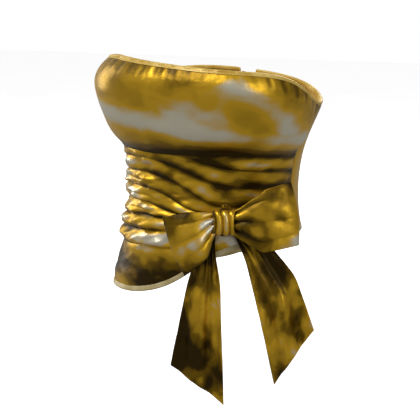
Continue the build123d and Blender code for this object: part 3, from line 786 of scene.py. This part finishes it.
def make_tail(name, left, right, fold, seed, waves, tone):
    """A tail: it leaves the knot flat, turns down at its fold and hangs in long waves."""
    sizes = bpy.context.scene.bow_sizes
    piece, across_share, down = grid(name, 96, 230)
    share = 1 - down
    from_left = run_along(left, share)
    from_right = run_along(right, share)
    across = mix(from_left[0], from_right[0], across_share)
    drop = mix(from_left[1], from_right[1], across_share)
    bend = 0.9 * ripple(seed, across_share * 2, share * 4, 4)
    wave = np.sin(waves * TURN * across_share + bend + seed)
    fine = np.sin(2.6 * waves * TURN * across_share + 2 * bend + 1)
    free = smooth(-25, 70, drop)
    pinch = np.exp(-np.maximum(drop + fold, 0) / 26)
    depth = sizes.wave / MM * (0.16 + 0.84 * free)
    out = depth * (0.5 + 0.5 * wave) * (1 - 0.5 * pinch) + 1.0 * (fine + 1) * (1 - free) + 0.8 * fine * free
    flutter = ripple(seed + 1, across_share * 3, share * 7, 5)
    dents = crumple(seed + 4, across * 1.4, drop * 0.9, 24)
    out = out + (1.2 * (flutter + 1) + 2.0 * dents + 2.0) * free
    stub = bow_place(across, -fold - np.minimum(drop, 0), 2.8 + out)
    points = stub - np.maximum(drop, 0)[:, None] * MM * np.array([0, 0, 1])
    # Painted light and shade: lighter on the wave crests, painted sheen blots and dents where it hangs
    # free, and painted shade at the fold and before it.
    painted_sheen_blots = ripple(seed + 2, across_share * 6 + 2 * bend, share * 13, 7)
    shade = tone + 0.09 * wave + 0.04 * fine + (0.13 * painted_sheen_blots + 0.20 * dents) * free - 0.22 * pinch
    shape_grid(piece, points, shade)
    thicken(piece, bpy.context.scene.top_sizes.cloth)
    return piece


# ---------------------------------------------------------------- operators
class PieceOperator(bpy.types.Operator):
    """Base of the operators that model one piece or a group of like pieces."""

    bl_options = {"REGISTER", "UNDO"}

    def execute(self, context):
        self.model(context)
        return {"FINISHED"}


class BOWTOP_OT_bust(PieceOperator):
    """Model the gathered bust panel."""

    bl_idname = "bowtop.bust"
    bl_label = "Bust Panel"

    def model(self, context):
        def lower_edge(angle):
            """Tucked behind the waist panel, a little uneven where the gathers are caught."""
            caught = ripple(9, arc_length(angle) / (22 * MM), angle * 0, 4)
            return BUST_SEAM - 6 * MM + 3 * MM * caught

        cloth = context.scene.top_sizes.cloth
        piece = wall_cloth("bust_cloth", FRONT, lower_edge, wall.neckline, bust_drape, (360, 90), cloth)
        dress(piece, satin("bust satin", 1.0, (0.8, 0.8, 1.3), 1.3), "bodice", "satin", "bust_panel")
        declare_sheet(piece, "gathered", 0.47, 0.135, "lining_front_cloth")


class BOWTOP_OT_ruched(PieceOperator):
    """Model the ruched waist panel and its plain skirt."""

    bl_idname = "bowtop.ruched"
    bl_label = "Ruched Panel"

    def model(self, context):
        def seam_height(angle):
            return np.full_like(angle, BUST_SEAM)

        cloth = context.scene.top_sizes.cloth
        piece = wall_cloth("waist_cloth", FRONT, wall.hem, seam_height, waist_drape, (300, 165), cloth)
        finish = satin("ruched satin", 3.0, (1.0, 1.0, 2.0), 1.9)
        dress(piece, finish, "bodice", "satin_ruched", "front_drape")
        declare_sheet(piece, "gathered", 0.44, 0.24, "lining_front_cloth")


class BOWTOP_OT_back(PieceOperator):
    """Model the two back panels beside the zip."""

    bl_idname = "bowtop.back"
    bl_label = "Back Panels"

    def model(self, context):
        finish = satin("back satin", 5.0, (1, 1, 0.6))
        cloth = context.scene.top_sizes.cloth
        for side in ("left", "right"):
            name, arc = f"back_cloth_{side}", ARCS["back_" + side]
            piece = wall_cloth(name, arc, wall.hem, wall.neckline, back_drape, (130, 190), cloth)
            dress(piece, finish, "bodice", "satin", f"back_panel_{side}")
            declare_sheet(piece, "stretched", 0.21, 0.28, f"lining_back_{side}_cloth")


class BOWTOP_OT_lining(PieceOperator):
    """Model the lining's three parts."""

    bl_idname = "bowtop.lining"
    bl_label = "Lining"

    INSET = 1 * MM  # how far the lining's edges lie inside the bindings

    def hem_edge(self, angle):
        return wall.hem(angle) + self.INSET

    def neck_edge(self, angle):
        return wall.neckline(angle) - self.INSET

    def model(self, context):
        finish = plain_cloth("lining twill", (0.36, 0.20, 0.015), (0.62, 0.38, 0.05), 0.6, 260, "Z")
        for part, arc in ARCS.items():
            columns = 160 if part == "front" else 80
            edges = self.hem_edge, self.neck_edge
            piece = wall_cloth(f"lining_{part}_cloth", arc, *edges, lining_drape, (columns, 110), 0.6 * MM)
            dress(piece, finish, "bodice", "lining", f"lining_{part}")
            size = (0.42, 0.33) if part == "front" else (0.20, 0.28)
            declare_sheet(piece, "stretched", *size, "waist_stay_ribbon")


class BOWTOP_OT_bindings(PieceOperator):
    """Model the bindings of the neckline and the hem."""

    bl_idname = "bowtop.bindings"
    bl_label = "Bindings"

    def model(self, context):
        bright = edge_satin("neckline binding satin", (0.50, 0.30, 0.03), (0.68, 0.47, 0.11))
        pale = edge_satin("hem binding satin", (0.42, 0.33, 0.13), (0.58, 0.48, 0.26))
        for part, arc in ARCS.items():
            columns = 420 if part == "front" else 210
            neck = edge_band(f"neck_binding_{part}", arc, wall.neckline, 1, 3.2 * MM, columns, 0.5 * MM)
            dress(neck, bright, "bodice", "binding", f"neckline_binding_{part}")
            hem = edge_band(f"hem_binding_{part}_strip", arc, wall.hem, -1, 6 * MM, columns, 0.5 * MM)
            dress(hem, pale, "bodice", "binding", f"hem_binding_{part}")
            for piece, width in ((neck, 0.022), (hem, 0.028)):
                length = cloth_area(piece) / width * 1.02
                declare_sheet(piece, "folded", width, length, f"lining_{part}_cloth")


class BOWTOP_OT_cups(PieceOperator):
    """Model the two padded cups between the satin and the lining."""

    bl_idname = "bowtop.cups"
    bl_label = "Cups"

    def model(self, context):
        finish = plain_cloth("cup foam", (0.55, 0.42, 0.22), (0.78, 0.64, 0.38), 0.85)
        for side in ("left", "right"):
            bpy.ops.object.select_all(action="DESELECT")
            bpy.ops.mesh.primitive_uv_sphere_add(segments=64, ring_count=40, radius=1)
            piece = context.active_object
            piece.name = piece.data.name = f"cup_pad_{side}"
            unit = np.array([vertex.co for vertex in piece.data.vertices])
            low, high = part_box(f"cup_{side}")
            middle = (low + high) / 2
            angle = math.atan2(middle.x, -middle.y) + unit[:, 0] * 0.36
            height = middle.z + unit[:, 2] * 0.041
            out = -2.5 * MM - unit[:, 1] * 1.0 * MM
            piece.data.vertices.foreach_set("co", wall.place(angle, height, out).astype(np.float32).ravel())
            bpy.ops.object.shade_smooth()
            dress(piece, finish, "bodice", "cup_foam", f"cup_{side}")


class BOWTOP_OT_stay(PieceOperator):
    """Model the ribbed ribbon inside the waist."""

    bl_idname = "bowtop.stay"
    bl_label = "Waist Stay"

    def model(self, context):
        low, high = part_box("waist_stay")
        piece, across, along = grid("waist_stay_ribbon", 240, 14)
        angle = mix(-ZIP_EDGE + 0.12, ZIP_EDGE - 0.12, across)
        height = mix(low.z, high.z, along)
        shape_grid(piece, wall.place(angle, height, np.full_like(angle, -5.3 * MM)))
        thicken(piece, 0.5 * MM)
        finish = plain_cloth("grosgrain", (0.42, 0.26, 0.04), (0.62, 0.42, 0.10), 0.7, 420, "Z")
        dress(piece, finish, "bodice", "grosgrain", "waist_stay")
        declare_sheet(piece, "stretched", 0.72, 0.020)


class BOWTOP_OT_knot(PieceOperator):
    """Model the knot, the gathered middle inside it and the pleated backing behind it."""

    bl_idname = "bowtop.knot"
    bl_label = "Knot"

    def model(self, context):
        piece, around, across = grid("bow_knot_band", 220, 70)
        turn = around * TURN
        side = 2 * across - 1
        tall = np.sign(np.cos(turn)) * np.abs(np.cos(turn)) ** 0.72
        deep = np.sign(np.sin(turn)) * np.abs(np.sin(turn)) ** 0.72
        crease = np.abs(np.sin(side * 4.6 + 0.5 * np.sin(turn * 2 + 1) + 0.8)) ** 0.8
        press = 0.78 + 0.22 * crease - 0.16 * side ** 4
        front = smooth(-0.2, 0.3, deep)
        waist = 1 - 0.13 * (1 - tall ** 2) * front
        out = 14 + 12.6 * deep * mix(1, press, front)
        up = 16.0 * tall * mix(1, press, 0.35)
        spread = 14.2 * side * waist
        # Painted light and shade: lighter on the ridges between the creases, painted shade where the band
        # turns under at its sides, top and bottom.
        tone = mix(0.30, 0.74, crease) - 0.32 * np.abs(side) ** 5 - 0.12 * np.abs(tall) ** 3
        shape_grid(piece, bow_place(spread, up, out), tone)
        thicken(piece, context.scene.top_sizes.cloth, weld=True)
        finish = satin("bow satin", 9.0, (2.0, 2.0, 2.0), 1.3)
        dress(piece, finish, "bodice", "satin_bow", "bow_knot")
        declare_sheet(piece, "gathered", 0.034, 0.125, "bow_core_wad")

        bpy.ops.object.select_all(action="DESELECT")
        bpy.ops.mesh.primitive_uv_sphere_add(segments=96, ring_count=60, radius=1)
        core = context.active_object
        core.name = core.data.name = "bow_core_wad"
        unit = np.array([vertex.co for vertex in core.data.vertices])
        folds = 1 + 0.07 * np.sin(9 * np.arctan2(unit[:, 2], unit[:, 1]) + 3 * unit[:, 0])
        spots = bow_place(12.0 * unit[:, 0], 16.5 * unit[:, 2] * folds, 14.2 - 8.5 * unit[:, 1] * folds)
        core.data.vertices.foreach_set("co", spots.astype(np.float32).ravel())
        bpy.ops.object.shade_smooth()
        dress(core, finish, "bodice", "satin_bow", "bow_core")

        patch, around, outward = grid("bow_backing", 240, 30)
        turn = -around * TURN
        pleat = np.abs(np.sin(turn * 9))
        reach = mix(6, 19.5 + 1.6 * np.sin(turn * 3 + 1), outward)
        ruffle = np.where(np.cos(turn) > 0, 1 + 0.04 * np.cos(turn) ** 4, 0.9)
        out = 0.7 + 1.1 * pleat * outward
        spots = bow_place(0.72 * reach * np.sin(turn), reach * np.cos(turn) * ruffle, out)
        # The backing's tone is kept low, as painted shade behind the knot, a little lighter on the pleats.
        shape_grid(patch, spots, 0.10 + 0.18 * pleat)
        thicken(patch, 0.5 * MM, weld=True)
        dress(patch, finish, "bodice", "bow_patch", "bow_patch")
        declare_sheet(patch, "gathered", 0.05, 0.05, "waist_cloth")


class BOWTOP_OT_loops(PieceOperator):
    """Model the two loops of the bow."""

    bl_idname = "bowtop.loops"
    bl_label = "Loops"

    def model(self, context):
        # Both loops share one satin; the right loop's lower lightness is painted shade.
        left = make_loop(
            "bow_loop_left_cloth",
            [(9, 13), (18, 17), (50, 41), (81, 51)],
            [(9, -13), (18, -19), (48, -36), (92, -26)],
            4,
            51,
            False,
            0.46,
        )
        right = make_loop(
            "bow_loop_right_cloth",
            [(-9, 12), (-19, 12), (-46, 12), (-76, 6)],
            [(-9, -13), (-14, -22), (-19, -43), (-48, -67)],
            -4,
            57,
            True,
            0.36,
        )
        finish = satin("loop satin", 11.0, (1.7, 1.7, 1.7), 1.7)
        for side, sign, piece in (("left", 1, left), ("right", -1, right)):
            dress(piece, finish, None, "satin_bow", f"bow_loop_{side}")
            bow_point(sign * 13, 0, LOOP_MIDDLE)
            bow_point(sign * 27, 0, LOOP_MIDDLE)
            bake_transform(piece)
            declare_sheet(piece, "gathered", 0.09, 0.21, "bow_core_wad")


class BOWTOP_OT_tails(PieceOperator):
    """Model the two tails of the bow."""

    bl_idname = "bowtop.tails"
    bl_label = "Tails"

    def model(self, context):
        # Both tails share one satin; the right tail's lower tone is painted shade.
        left = make_tail(
            "bow_tail_left_cloth",
            [(11, -32), (26, 0), (46, 80), (64, 163)],
            [(11, -46), (42, -34), (72, 0), (88, 20), (112, 88)],
            46,
            61,
            1.5,
            0.44,
        )
        right = make_tail(
            "bow_tail_right_cloth",
            [(-11, -74), (-28, -60), (-46, 0), (-67, 106)],
            [(-11, -66), (-13, -50), (-4, 0), (0, 157)],
            78,
            67,
            1.5,
            0.24,
        )
        finish = satin("tail satin", 13.0, (2.2, 2.2, 1.5), 1.7)
        nodes = {"left": ("bow_tail_left", "bow_tail_stub"), "right": ("bow_tail_right",)}
        for side, fold, middle, piece in (("left", 46, 52, left), ("right", 78, -25, right)):
            dress(piece, finish, None, "satin_bow", *nodes[side])
            bow_point(middle, 8 - fold, 2.8)
            bow_point(middle, -8 - fold, 2.8)
            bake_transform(piece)
            declare_sheet(piece, "hung", 0.085, 0.26, "bow_core_wad")


class BOWTOP_OT_hardware(PieceOperator):
    """Give the zip, the bones and the other hard parts their finishes."""

    bl_idname = "bowtop.hardware"
    bl_label = "Hard Parts"

    def model(self, context):
        brass = metal("zip brass", (0.42, 0.27, 0.07), (0.80, 0.60, 0.24), 0.32)
        steel = metal("spring steel", (0.33, 0.34, 0.36), (0.62, 0.63, 0.66), 0.34, (1, 1, 0.1))
        tape = plain_cloth("zip tape", (0.34, 0.19, 0.02), (0.52, 0.32, 0.05), 0.8, 500, "Z")
        cotton = plain_cloth("cotton twill", (0.60, 0.52, 0.36), (0.80, 0.73, 0.56), 0.85, 380, "DIAGONAL")
        elastic = plain_cloth("woven elastic", (0.62, 0.55, 0.40), (0.84, 0.78, 0.62), 0.8, 300, "X")
        finishes = {
            "neckline_elastic": elastic,
            "zip_tape": tape,
            "zip": brass,
            "back_hook": brass,
            "back_eye": brass,
            "bone_casing": cotton,
            "bone": steel,
        }
        for name, node in frame["nodes"].items():
            for start, finish in finishes.items():
                if name.startswith(start):
                    node.data.materials.clear()
                    node.data.materials.append(finish)
                    break


class BOWTOP_OT_stage(PieceOperator):
    """Set the pale floor, the soft lights and the camera."""

    bl_idname = "bowtop.stage"
    bl_label = "Stage"

    AIM = Vector((-4.7, -2.7, -20.7)) * MM
    DISTANCE = 1.339
    TOWARDS_CAMERA = Vector((0.489, -0.847, 0.208))
    ROOM_LIGHT = 0.34

    def lamp(self, name, place, size, power, colour):
        """A large soft light that faces the top."""
        bpy.ops.object.select_all(action="DESELECT")
        bpy.ops.object.light_add(type="AREA", location=place)
        light = bpy.context.active_object
        light.name = name
        light.data.shape = "RECTANGLE"
        light.data.size, light.data.size_y = size
        light.data.energy = power
        light.data.color = colour
        light.rotation_euler = (self.AIM - Vector(place)).to_track_quat("-Z", "Y").to_euler()

    def model(self, context):
        bpy.ops.object.select_all(action="DESELECT")
        bpy.ops.mesh.primitive_plane_add(size=14, location=(0, 0, CAD_BOX[0][2] - 0.012))
        floor = context.active_object
        floor.name = "floor"
        finish = Finish("floor paint", Roughness=0.9)
        grain = finish.noise(3, detail=2)
        tint = finish.ramp(grain, [(0.3, (0.86, 0.86, 0.86)), (0.7, (0.90, 0.90, 0.90))])
        finish.shader.inputs["Emission Color"].default_value = (1, 1, 1, 1)
        finish.shader.inputs["Emission Strength"].default_value = 0.66
        floor.data.materials.append(finish.link(Base_Color=tint))
        floor.visible_glossy = False
        floor.visible_diffuse = False

        self.lamp("key", (-0.7, -1.3, 1.9), (1.2, 1.0), 34, (1.0, 0.985, 0.96))
        self.lamp("fill", (1.7, -0.9, 0.9), (0.7, 1.4), 9, (0.97, 0.98, 1.0))
        self.lamp("back", (0.2, 1.8, 1.4), (1.6, 1.0), 22, (1.0, 1.0, 1.0))
        self.lamp("side", (-1.8, 0.1, 0.5), (0.5, 1.4), 9, (1.0, 1.0, 1.0))
        world = bpy.data.worlds.new("studio")
        world.use_nodes = True
        backdrop = world.node_tree.nodes["Background"]
        backdrop.inputs["Color"].default_value = (1, 1, 1, 1)
        seen = Shade(world.node_tree, None).node("ShaderNodeLightPath")
        strength = seen * (1 - self.ROOM_LIGHT) + self.ROOM_LIGHT
        world.node_tree.links.new(strength.socket, backdrop.inputs["Strength"])
        context.scene.world = world
        context.scene.view_settings.view_transform = "Standard"

        bpy.ops.object.camera_add(location=self.AIM + self.DISTANCE * self.TOWARDS_CAMERA)
        camera = context.active_object
        camera.rotation_euler = (-self.TOWARDS_CAMERA).to_track_quat("-Z", "Y").to_euler()
        camera.data.lens = 85
        camera.data.sensor_width = 36
        context.scene.camera = camera


OPERATORS = (
    BOWTOP_OT_bust,
    BOWTOP_OT_ruched,
    BOWTOP_OT_back,
    BOWTOP_OT_lining,
    BOWTOP_OT_bindings,
    BOWTOP_OT_cups,
    BOWTOP_OT_stay,
    BOWTOP_OT_knot,
    BOWTOP_OT_loops,
    BOWTOP_OT_tails,
    BOWTOP_OT_hardware,
    BOWTOP_OT_stage,
)


class BOWTOP_PT_panel(bpy.types.Panel):
    """The sizes, the colours and the operators, in order."""

    bl_label = "Satin Bow Top"
    bl_idname = "BOWTOP_PT_panel"
    bl_space_type = "VIEW_3D"
    bl_region_type = "UI"
    bl_category = "Bow Top"

    def draw(self, context):
        for group in (context.scene.top_sizes, context.scene.bow_sizes, context.scene.satin_colours):
            box = self.layout.box()
            for name in group.__annotations__:
                box.prop(group, name)
        for operator in OPERATORS:
            self.layout.operator(operator.bl_idname)


GROUPS = {"top_sizes": TopSizes, "bow_sizes": BowSizes, "satin_colours": SatinColours}


def register():
    for name, group in GROUPS.items():
        bpy.utils.register_class(group)
        setattr(bpy.types.Scene, name, bpy.props.PointerProperty(type=group))
    for operator in (*OPERATORS, BOWTOP_PT_panel):
        bpy.utils.register_class(operator)


def unregister():
    for operator in reversed((*OPERATORS, BOWTOP_PT_panel)):
        bpy.utils.unregister_class(operator)
    for name, group in GROUPS.items():
        delattr(bpy.types.Scene, name)
        bpy.utils.unregister_class(group)


def main():
    register()
    for operator in OPERATORS:
        group, name = operator.bl_idname.split(".")
        getattr(getattr(bpy.ops, group), name)()
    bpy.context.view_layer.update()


if __name__ == "__main__":
    main()
